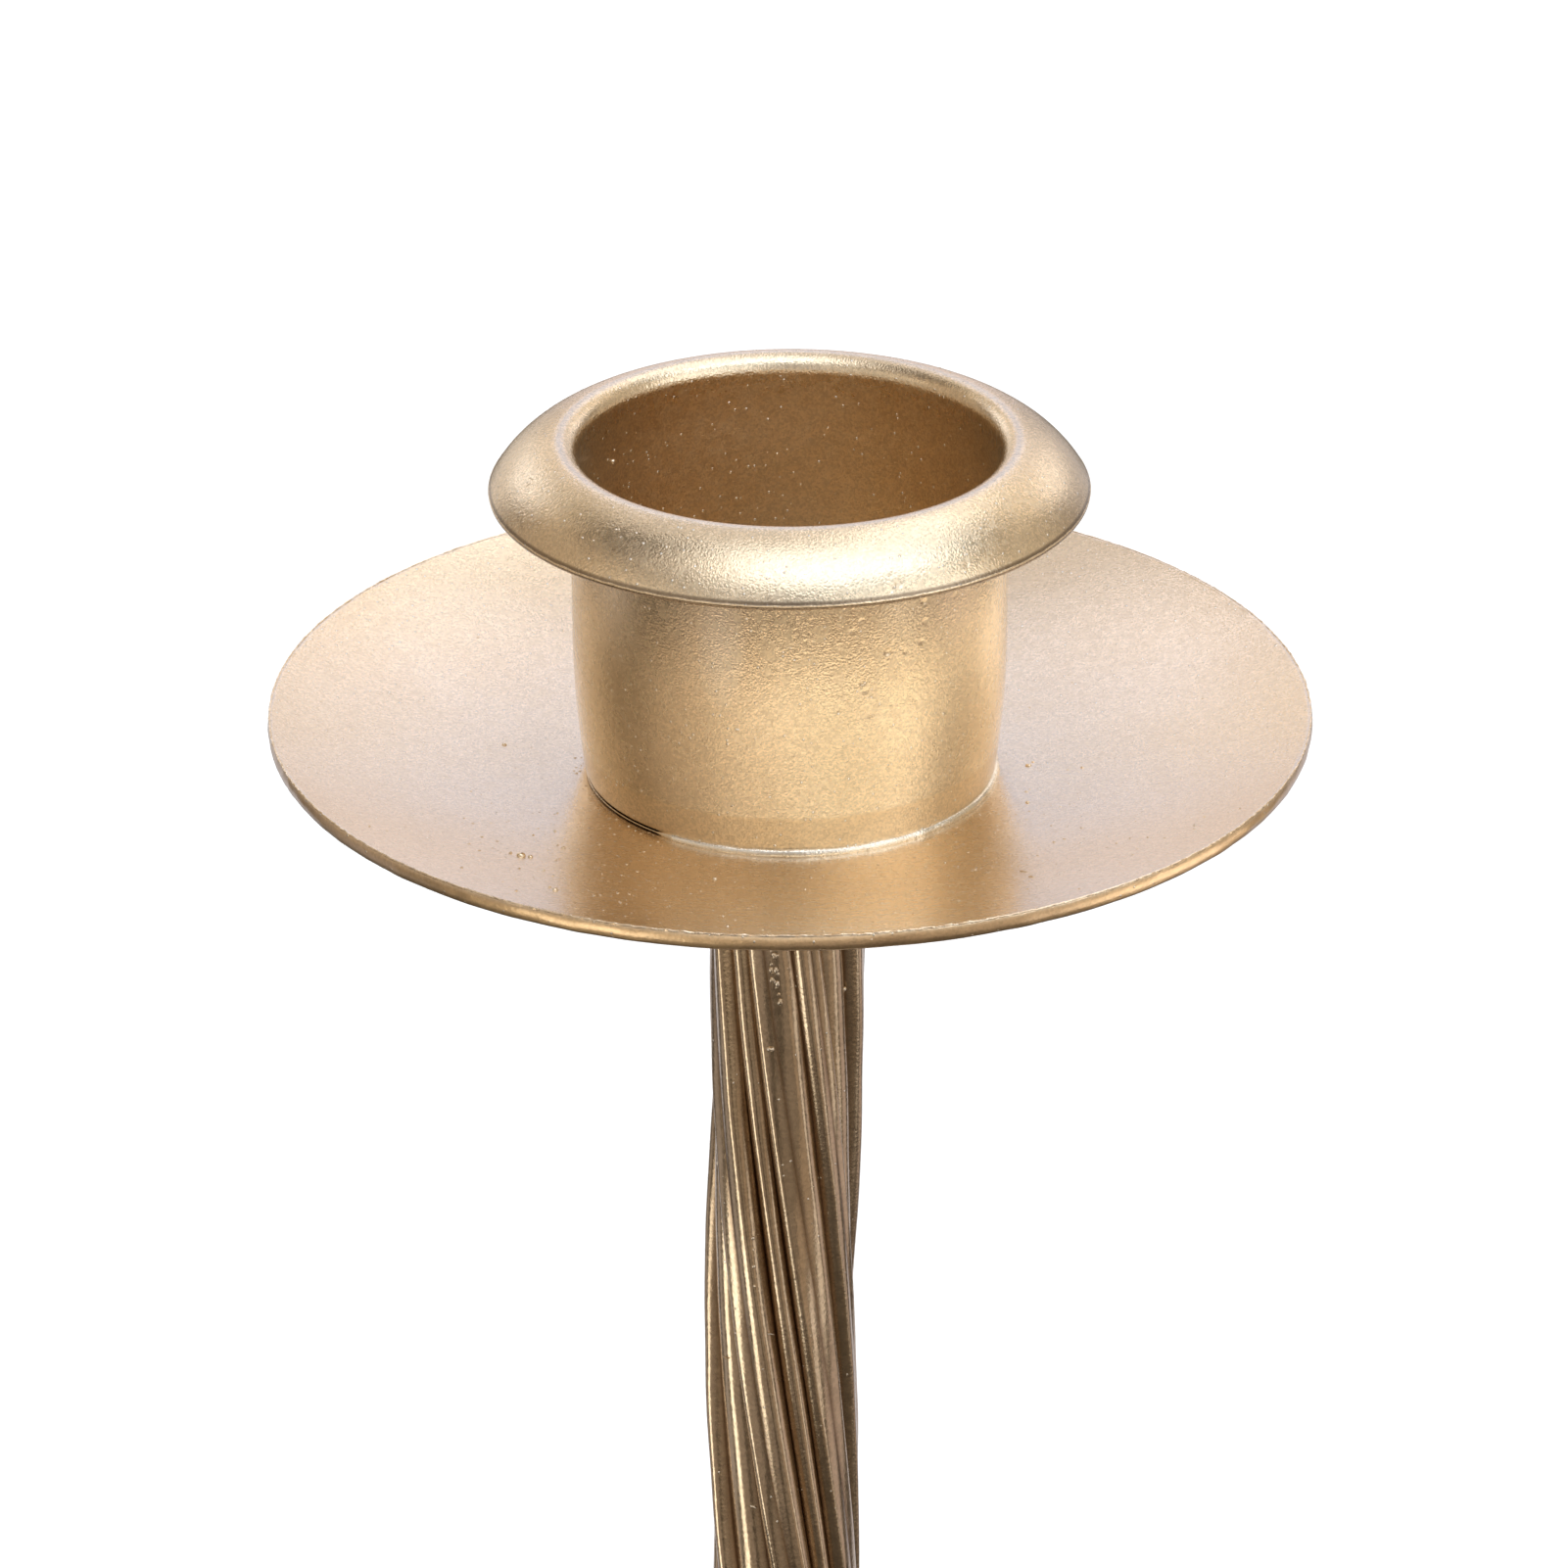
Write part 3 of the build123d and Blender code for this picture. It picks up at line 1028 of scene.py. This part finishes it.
@dataclass
class TwistedStem:
    """The stem's strands, each a wedge twisted round the core rod."""

    base: float = 13.7
    length: float = 205.0
    radius: float = 4.36
    pitch: float = 174.0
    core: float = 2.64
    overlap: float = 0.03
    wave: Drift = Drift(0.05, 0.22, 1.7, 9.0)
    swell: Drift = Drift(0.10, 0.035, 3.1, 5.0)
    fade: Drift = Drift(0.8, 0.06, 7.3, 2.0)
    lean: Drift = Drift(0.35, 0.02, 5.3, 1.0)
    bend: float = 0.58
    half_bends: int = 3
    shoulder: float = 2.0
    groove_shade: Fade = Fade(0.55, 0.45)
    groove_shade_power: float = 1.5
    phase: float = 124.9
    steps: int = 416
    crown_parts: int = 16
    core_parts: int = 3
    off_crown: float = 5.0
    ray_start: float = 8.0
    widths: tuple[float, ...] = (
        0.0944, 0.0542, 0.0597, 0.0528, 0.0500, 0.0597, 0.0389, 0.0292,
        0.0778, 0.0611, 0.0667, 0.0750, 0.0722, 0.0750, 0.0667, 0.0666,
    )
    crests: tuple[float, ...] = (
        0.860, 0.965, 0.990, 0.910, 0.975, 0.965, 1.000, 0.995,
        0.875, 1.000, 0.985, 0.885, 0.985, 0.960, 0.870, 1.000,
    )
    grooves: tuple[float, ...] = (
        0.20, 0.42, 0.06, 0.55, 0.40, 0.05, 0.50, 0.07,
        0.45, 0.40, 0.06, 0.34, 0.46, 0.05, 0.24, 0.44,
    )
    grains: tuple[Grain, ...] = STEM_GRAINS
    streak: DryStreak = DryStreak()
    strewn: tuple[Strewn, ...] = (Strewn(150, 17, ALL_ROUND, (4, 201), 0.07),)

    def groove(self, number: int, height: float) -> float:
        """Finds how deep the groove before a strand goes.

        Args:
            number: Which strand it is, and one more than the last for the first again.
            height: The height up the stem.

        Returns:
            The radius at the groove's bottom.
        """
        number %= len(self.widths)
        lower = min(self.crests[number], self.crests[number - 1])
        return self.radius * lower - self.grooves[number] * (1 + self.fade.at(number, height))

    def shape(self, vert: BMVert, number: int, off: float) -> None:
        """Moves a point of a strand's outer face to its place between the crown and the groove.

        Args:
            vert: The point.
            number: Which strand it is on.
            off: How far it is from the strand's middle, from -1 to 1.
        """
        height = vert.co.z
        crest = self.radius * self.crests[number]
        crest += self.swell.at(number, height)
        crest += self.wave.at(number, height)
        low = self.groove(number if off > 0 else number + 1, height)
        across = min(1.0, abs(off + self.lean.at(number, height) * (1 - off * off)))
        vert.co.xy *= (crest - (crest - low) * across ** self.shoulder) / vert.co.xy.length

    def strand(self, number: int, start: float, width: float) -> BMesh:
        """Draws a strand's wedge, twists it up the stem, crowns it and bends it.

        Args:
            number: Which strand it is, from nought.
            start: The angle of its first side at the foot, in degrees.
            width: Its part of the turn, in degrees.

        Returns:
            The strand's closed mesh, with the shares of painted shade on its sides towards the
            grooves.
        """
        side = math.degrees(self.overlap / 2 / self.core)
        first, span = math.radians(start - side), math.radians(width + 2 * side)
        mesh = bmesh.new()
        off, thin_spray_and_shade = (mesh.verts.layers.float.new(name) for name in ("off", "thin_spray_and_shade"))
        starts = [
            mesh.verts.new((reach * math.cos(first), reach * math.sin(first), 0.0))
            for reach in (self.radius, self.core)]
        mesh.edges.new(starts)
        ends = [
            bmesh.ops.spin(
                mesh, geom=[point], cent=(0, 0, 0), axis=(0, 0, 1), angle=span, steps=parts,
            )["geom_last"][0]
            for point, parts in zip(starts, (self.crown_parts, self.core_parts))]
        mesh.edges.new(ends)
        middle = Vector((math.cos(first + span / 2), math.sin(first + span / 2)))
        for vert in mesh.verts:
            if vert.co.length > (self.radius + self.core) / 2:
                vert[off] = middle.angle_signed(vert.co.xy) / (span / 2)
                # The strand's sides are darkened towards the grooves, painted shade.
                vert[thin_spray_and_shade] = self.groove_shade.at(abs(vert[off])) ** self.groove_shade_power
            else:
                vert[off] = self.off_crown
        sweep(mesh, -FULL_TURN * self.length / self.pitch, self.length, self.steps)
        bmesh.ops.holes_fill(mesh, edges=mesh.edges)
        bmesh.ops.recalc_face_normals(mesh, faces=mesh.faces)
        for vert in mesh.verts:
            if vert[off] < self.off_crown:
                self.shape(vert, number, vert[off])
            down = (self.length - vert.co.z) / self.length
            vert.co.x -= self.bend * math.sin(self.half_bends * math.pi * down)
        return mesh

    def build(self, material: Material) -> None:
        """Builds all the strands and their grit.

        Args:
            material: Their finish.
        """
        start = self.phase + 360 * self.length / self.pitch
        grit = blank()
        grains = loose((*self.grains, *self.streak.grains()), self.strewn)
        for number, share in enumerate(self.widths):
            width = 360 * share / sum(self.widths)
            mesh = self.strand(number, start, width)
            tree = BVHTree.FromBMesh(mesh)
            for grain in grains:
                side = grain.azimuth - 90 - start + 360 * grain.along / self.pitch
                if side % 360 < width:
                    outside = around(self.ray_start, grain.azimuth, grain.along)
                    grain.settle(grit, tree, outside, -around(1, grain.azimuth, 0))
            piece, node = f"twisted_strand_{number + 1:02d}", f"stem_strand_{number + 1:02d}"
            finished(piece, mesh, self.base, material, Slot.STEM_GOLD, node)
            start += width
        finished("stem_grit", grit, self.base, material, Slot.STEM_GOLD)


@dataclass(frozen=True)
class Panel:
    """A soft light panel: where it hangs, how wide and high it looks, its glow and its tone.

    A panel that is kept to some pieces lights only those.
    """

    name: str
    azimuth: float
    elevation: float
    width: float
    height: float
    glow: float
    tone: Colour
    only: tuple[str, ...] = ()

    def lights(self, name: str) -> bool:
        """Whether the panel lights the piece of this name."""
        return not self.only or name.startswith(self.only)


PANELS = (
    Panel("low_back_left", -150, -26, 24, 26, 0.6, (0.94, 0.93, 1.0)),
    Panel("low_back_right", 150, -26, 30, 26, 0.55, (0.97, 0.93, 1.0)),
    Panel("low_left_far", -105, -26, 24, 26, 0.35, (1.0, 0.92, 0.90)),
    Panel("low_left", -66, -26, 18, 26, 2.35, (1.0, 0.96, 0.88), STEM),
    Panel("edge_left", -43, -26, 26, 26, 2.8, (1.0, 0.90, 0.70), DISH),
    Panel("edge_right", 88, -26, 40, 26, 1.8, (1.0, 0.88, 0.68), DISH),
    Panel("low_front_left", -38, -26, 34, 26, 0.25, (1.0, 0.84, 0.74)),
    Panel("low_front", 8, -26, 24, 26, 0.2, (1.0, 0.82, 0.68)),
    Panel("low_front_right", 36, -26, 20, 26, 0.36, (1.0, 0.78, 0.60)),
    Panel("low_right", 60, -26, 14, 26, 0.9, (1.0, 0.92, 0.86)),
    Panel("low_right_far", 95, -26, 30, 26, 0.5, (1.0, 0.84, 0.80)),
    Panel("level_back", 180, 0, 20, 24, 0.72, (1.0, 0.86, 0.83)),
    Panel("level_back_left", -152, 0, 32, 24, 0.62, (1.0, 0.90, 0.80)),
    Panel("level_back_right", 152, 0, 32, 24, 0.45, (1.0, 0.93, 0.92)),
    Panel("level_left", -100, 0, 60, 24, 0.34, (1.0, 0.80, 0.60)),
    Panel("level_right", 100, 0, 60, 24, 0.42, (1.0, 0.84, 0.66)),
    Panel("level_front_left", -45, 0, 50, 24, 0.35, (1.0, 0.84, 0.68)),
    Panel("level_front_right", 45, 0, 50, 24, 0.45, (1.0, 0.84, 0.66)),
    Panel("level_front", 0, 0, 40, 24, 0.9, (1.0, 0.88, 0.72)),
    Panel("back", 180, 20, 16, 16, 0.89, (0.71, 0.77, 1.0)),
    Panel("back_left", -164, 20, 16, 16, 0.82, (1.0, 0.88, 0.76)),
    Panel("back_right", 164, 20, 16, 16, 0.8, (1.0, 0.93, 0.92)),
    Panel("back_far_left", -145, 20, 20, 16, 1.35, (0.96, 0.96, 1.0)),
    Panel("back_far_right", 145, 20, 20, 16, 1.31, (1.0, 0.94, 0.91)),
    Panel("upper_back", 180, 38, 30, 18, 1.15, (0.74, 0.79, 1.0)),
    Panel("upper_back_left", -145, 38, 36, 18, 0.45, (1.0, 0.86, 0.66)),
    Panel("upper_back_right", 145, 38, 36, 18, 0.6, (1.0, 0.84, 0.62)),
    Panel("left", -100, 28, 50, 30, 0.37, (1.0, 0.80, 0.58)),
    Panel("right", 100, 28, 50, 30, 0.42, (1.0, 0.86, 0.66)),
    Panel("front_left", -50, 28, 50, 30, 0.55, (1.0, 0.92, 0.82)),
    Panel("front_right", 50, 28, 50, 30, 1.35, (0.94, 0.97, 1.0)),
    Panel("front", 0, 28, 50, 30, 0.4, (0.96, 0.96, 1.0)),
    Panel("high_back", 180, 62, 50, 24, 0.66, (1.0, 0.95, 0.92)),
    Panel("high_right", 110, 62, 60, 24, 1.15, (0.86, 0.92, 1.0)),
    Panel("high_front_left", -45, 62, 50, 24, 0.5, (1.0, 0.94, 0.90)),
    Panel("high_front_right", 45, 62, 50, 24, 1.0, (0.80, 0.90, 1.0)),
    Panel("high_front", 0, 62, 50, 24, 0.6, (0.76, 0.88, 1.0)),
    Panel("overhead", 0, 85, 34, 34, 1.55, (0.90, 0.94, 1.0)),
)


@dataclass
class Studio:
    """The pale floor and wall, the soft light panels and the camera."""

    floor_reach: float = 12.0
    floor_parts: int = 8
    wall_inset: float = 1.0
    wall_parts: int = 96
    cup_height: float = 0.22
    panel_reach: float = 2.0
    panels: tuple[Panel, ...] = PANELS
    wash: Panel = Panel("floor_wash", 180, 80, 70, 70, 3.9, (0.97, 0.985, 1.0))
    wash_aim: Point = (0.0, 0.5, 0.0)
    wash_reach: float = 2.4
    room_tone: Colour = (1.0, 0.82, 0.64)
    room_glow: float = 0.10
    eye: Point = (-0.00034, -0.3112, 0.3687)
    pitch: float = 25.594
    roll: float = 0.185
    lens: float = 146.5
    sensor: float = 36.0
    nearest: float = 0.01
    farthest: float = 100.0

    def floor(self, material: Material) -> Object:
        """Sets the plain wall and lays the floor; no reflection shows them and they shade nothing.

        Args:
            material: Their finish.

        Returns:
            The floor.
        """
        floor, wall = bmesh.new(), bmesh.new()
        parts, radius = self.floor_parts, self.floor_reach - self.wall_inset
        bmesh.ops.create_grid(floor, x_segments=parts, y_segments=parts, size=self.floor_reach)
        bmesh.ops.create_cone(
            wall, segments=self.wall_parts, radius1=radius, radius2=radius,
            depth=2 * self.floor_reach)
        for name, mesh in (("studio_wall", wall), ("studio_floor", floor)):
            data = bpy.data.meshes.new(name)
            mesh.to_mesh(data)
            mesh.free()
            data.materials.append(material)
            part = bpy.data.objects.new(name, data)
            bpy.context.scene.collection.objects.link(part)
            part.visible_glossy = part.visible_diffuse = part.visible_shadow = False
        return part

    def hang(self, panel: Panel, aim: Vector, reach: float, lit: list[Object]) -> None:
        """Hangs a light panel that the camera doesn't see.

        Args:
            panel: The panel.
            aim: The point that it faces.
            reach: How far it is from that point.
            lit: The objects that it lights.
        """
        data = bpy.data.lights.new(panel.name, "AREA")
        data.shape = "RECTANGLE"
        data.size = 2 * reach * math.tan(math.radians(panel.width / 2))
        data.size_y = 2 * reach * math.tan(math.radians(panel.height / 2))
        data.energy = panel.glow * math.pi * data.size * data.size_y
        data.color = panel.tone
        level = reach * math.cos(math.radians(panel.elevation))
        way = around(level, panel.azimuth, reach * math.sin(math.radians(panel.elevation)))
        light = bpy.data.objects.new(panel.name, data)
        light.location = aim + way
        light.rotation_euler = (-way).to_track_quat("-Z", "Y").to_euler()
        light.visible_camera = False
        bpy.context.scene.collection.objects.link(light)
        receivers = bpy.data.collections.new(panel.name + "_lights")
        for item in lit:
            receivers.objects.link(item)
        light.light_linking.receiver_collection = receivers

    def camera(self) -> None:
        """Sets the camera at the photograph's viewpoint."""
        data = bpy.data.cameras.new("viewpoint")
        data.lens, data.sensor_width = self.lens, self.sensor
        data.clip_start, data.clip_end = self.nearest, self.farthest
        camera = bpy.data.objects.new("viewpoint", data)
        tilt = Matrix.Rotation(math.radians(90 - self.pitch), 4, "X")
        spin = Matrix.Rotation(math.radians(-self.roll), 4, "Z")
        camera.matrix_world = Matrix.Translation(self.eye) @ tilt @ spin
        bpy.context.scene.collection.objects.link(camera)
        bpy.context.scene.camera = camera

    def light(self, floor: Object, pieces: list[Object]) -> None:
        """Sets the room's own light and hangs the soft lights.

        Args:
            floor: The floor.
            pieces: The object's pieces.
        """
        world = bpy.data.worlds.new("studio_room")
        world.use_nodes = True
        room = world.node_tree.nodes["Background"]
        room.inputs["Color"].default_value = (*self.room_tone, 1.0)
        room.inputs["Strength"].default_value = self.room_glow
        bpy.context.scene.world = world
        for panel in self.panels:
            lit = [piece for piece in pieces if panel.lights(piece.name)]
            self.hang(panel, Vector((0, 0, self.cup_height)), self.panel_reach, lit)
        self.hang(self.wash, Vector(self.wash_aim), self.wash_reach, [floor])
        view = bpy.context.scene.view_settings
        view.view_transform = "Standard"
        view.look = "None"


def main() -> None:
    """Builds the studio and every piece in order."""
    studio = Studio()
    floor = studio.floor(PaleBackdrop("pale_floor", (0.80, 0.80, 0.80)).material())
    studio.camera()
    sheet_gold = GoldSpray(
        "sheet_gold_spray", (0.91, 0.74, 0.535), (0.87, 0.69, 0.475), (0.98, 0.88, 0.74),
        roughness=0.26, coat=1.0, grain_depth=0.012, specks=0.05, flakes_per_mm=7.5,
    ).material()
    cup_gold = GoldSpray(
        "cup_gold_spray", (0.91, 0.74, 0.52), (0.83, 0.655, 0.43), (1.0, 0.95, 0.86),
        roughness=0.25, coat=1.0, grain_depth=0.024, specks=0.06, flakes_per_mm=8.5, glint=0.12,
    ).material()
    # The stem's gold is painted darker than the sheet gold, painted shade; its third tone darkens
    # the strands' sides, painted shade.
    stem_gold = GoldSpray(
        "stem_gold_spray_shaded", (0.68, 0.54, 0.375), (0.53, 0.40, 0.255), (0.42, 0.33, 0.25),
        roughness=0.20, coat=0.6, grain_depth=0.010, specks=0.012,
    ).material()
    steel = BareMetal("fastener_steel", (0.62, 0.61, 0.60), (0.45, 0.44, 0.42), 0.3).material()
    iron = BareMetal("bare_iron", (0.32, 0.31, 0.30), (0.20, 0.17, 0.15), 0.42).material()
    felt = PressedFelt("pad_felt", (0.030, 0.028, 0.026), (0.014, 0.013, 0.012)).material()
    DripPan().build(sheet_gold)
    CandleCup().build(cup_gold)
    TwistedStem().build(stem_gold)
    carried = {
        "spun_foot": sheet_gold, "lower_collar": stem_gold, "upper_collar": stem_gold,
        "core_rod": iron, "foot_screw": steel, "foot_washer": steel, "cup_screw": steel,
        "cup_washer": steel, "foot_pad_right": felt, "foot_pad_back": felt,
        "foot_pad_left": felt, "foot_pad_front": felt,
    }
    for node, material in carried.items():
        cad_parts[node].material_slots[0].material = material
        LOG.info("%s: dressed", node)
    pieces = [
        item for item in bpy.context.scene.objects
        if item.type == "MESH" and not item.name.startswith("studio_")]
    studio.light(floor, pieces)


if __name__ == "__main__":
    logging.basicConfig(level=logging.INFO, format="%(message)s")
    main()
